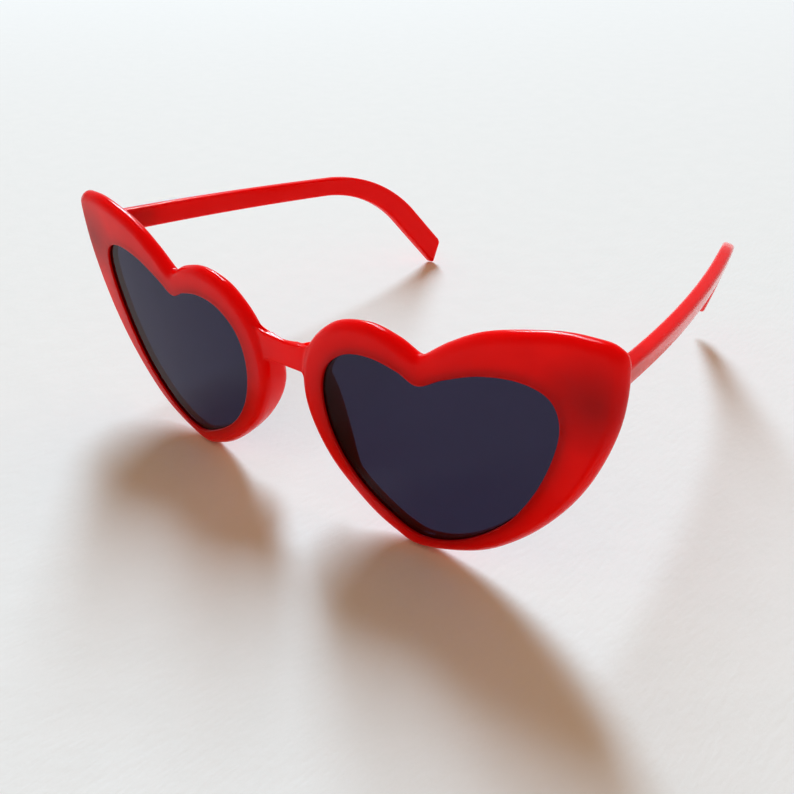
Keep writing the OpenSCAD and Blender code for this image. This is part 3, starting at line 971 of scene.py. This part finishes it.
rough = add(tree, "ShaderNodeMapRange", "Result", {
    "Value": fibres, "From Min": 0.3, "From Max": 0.7, "To Min": 0.8, "To Max": 0.95})
teeth = add(tree, "ShaderNodeTexNoise", "Fac", {"Vector": place, "Scale": 1 / (TEETH * MM)})
height = add(tree, "ShaderNodeMath", "Value", {0: fibres, 1: teeth}, operation="ADD")
finish_surface(tree, surface, card, rough, height, strength=0.25, depth=0.4)
floor.data.materials.append(paper)
print("floor at z", round(floor.location.z / MM, 1), "mm")

# %% [markdown]
# ## Light
# The shadows are warm and soft, and the room that shows in the lenses is a cool pale grey
# that gets darker overhead. So the room is drawn twice. The camera, reflections and what is
# seen through a lens meet the grey room, and everything else is lit by a warm fill.

# %% The room
FILL_STRENGTH = 0.44
LOW_WALL, HIGH_WALL = 0.15, 0.7  # the rise over which the wall gets darker
world = bpy.data.worlds.new("pale_room")
bpy.context.scene.world = world
world.use_nodes = True
tree = world.node_tree
fill = tree.nodes["Background"]
fill.inputs["Color"].default_value = colour("#FFD3A9")
fill.inputs["Strength"].default_value = FILL_STRENGTH
heading = add(tree, "ShaderNodeTexCoord", "Generated", {})
height = add(tree, "ShaderNodeSeparateXYZ", "Z", {"Vector": heading})
rise = add(tree, "ShaderNodeMapRange", "Result",
           {"Value": height, "From Min": LOW_WALL, "From Max": HIGH_WALL})
shown = add(tree, "ShaderNodeLightPath", "Is Camera Ray", {})
skyline = add(tree, "ShaderNodeMix", "Result",
              {"Factor": shown, "A": colour("#C2C6CA"), "B": colour("#EDF0F2")}, data_type="RGBA")
wall = add(tree, "ShaderNodeMix", "Result",
           {"Factor": rise, "A": skyline, "B": colour("#77797D")}, data_type="RGBA")
seen = add(tree, "ShaderNodeBackground", "Background", {"Color": wall, "Strength": 1.0})
for ray_kind in ("Is Glossy Ray", "Is Transmission Ray"):
    other = add(tree, "ShaderNodeLightPath", ray_kind, {})
    shown = add(tree, "ShaderNodeMath", "Value", {0: shown, 1: other}, operation="MAXIMUM")
room = add(tree, "ShaderNodeMixShader", "Shader",
           {0: shown, 1: fill.outputs["Background"], 2: seen})
tree.links.new(room, tree.nodes["World Output"].inputs["Surface"])
print("the room has", len(tree.nodes), "nodes")

# %% [markdown]
# One lamp stands for a tall window behind the glasses. It is long and narrow, so the shadows
# are softer along one direction than across it, and it is turned to lie as they do.

# %% The window
LAMP_WAY = Vector((-0.649, 0.789, 1)).normalized()
LAMP_AIM, LAMP_AWAY = Vector((0, 0.03, -0.02)), 9.0  # in metres
LAMP_W, LAMP_H, LAMP_WATTS = 1.5, 6.3, 960
LAMP_TURN = math.radians(13.5)
lamp = bpy.data.objects.new("soft_window", bpy.data.lights.new("soft_window", "AREA"))
bpy.context.collection.objects.link(lamp)
lamp.location = LAMP_AIM + LAMP_AWAY * LAMP_WAY
lamp.data.shape = "RECTANGLE"
lamp.data.size, lamp.data.size_y = LAMP_W, LAMP_H
lamp.data.energy = LAMP_WATTS
lamp.data.color = (0.68, 0.875, 1.0)
lamp.rotation_mode = "QUATERNION"
lamp.rotation_quaternion = LAMP_WAY.to_track_quat("Z", "Y") @ Quaternion((0, 0, 1), LAMP_TURN)
print("window", LAMP_AWAY, "m away,", round(lamp.location.z, 1), "m high")

# %% [markdown]
# ## Camera
# The camera stands where the photograph was taken, close to the right heart and above it. It
# is built from three directions: back towards the camera, to the right, and up, which are
# then rolled a little.

# %% Camera
CAM_AZ, CAM_EL, CAM_ROLL = math.radians(40.4), math.radians(32.187), math.radians(-3.242)
CAM_AT = Vector((124.56, -110.45, 93.65)) * MM
SENSOR_W, LENS_LENGTH = 36, 39.87
back_way = Vector((math.sin(CAM_AZ) * math.cos(CAM_EL), -math.cos(CAM_AZ) * math.cos(CAM_EL),
                   math.sin(CAM_EL)))
right_way = Vector((0, 0, 1)).cross(back_way).normalized()
up_way = back_way.cross(right_way)
x_way = math.cos(CAM_ROLL) * right_way + math.sin(CAM_ROLL) * up_way
y_way = back_way.cross(x_way)
camera = bpy.data.objects.new("camera", bpy.data.cameras.new("camera"))
bpy.context.collection.objects.link(camera)
camera.matrix_world = Matrix.Translation(CAM_AT) @ Matrix(
    (x_way, y_way, back_way)).transposed().to_4x4()
camera.data.sensor_width, camera.data.lens = SENSOR_W, LENS_LENGTH
camera.data.clip_start, camera.data.clip_end = 0.01, 20
bpy.context.scene.camera = camera
bpy.context.scene.view_settings.view_transform = "Standard"
print("camera", round(CAM_AT.length / MM), "mm from the middle of the bridge")

# %% [markdown]
# ## The last step
# The dressed glasses have to fill nearly the same box as their solids.

# %% Clear the selection
deselect_all()
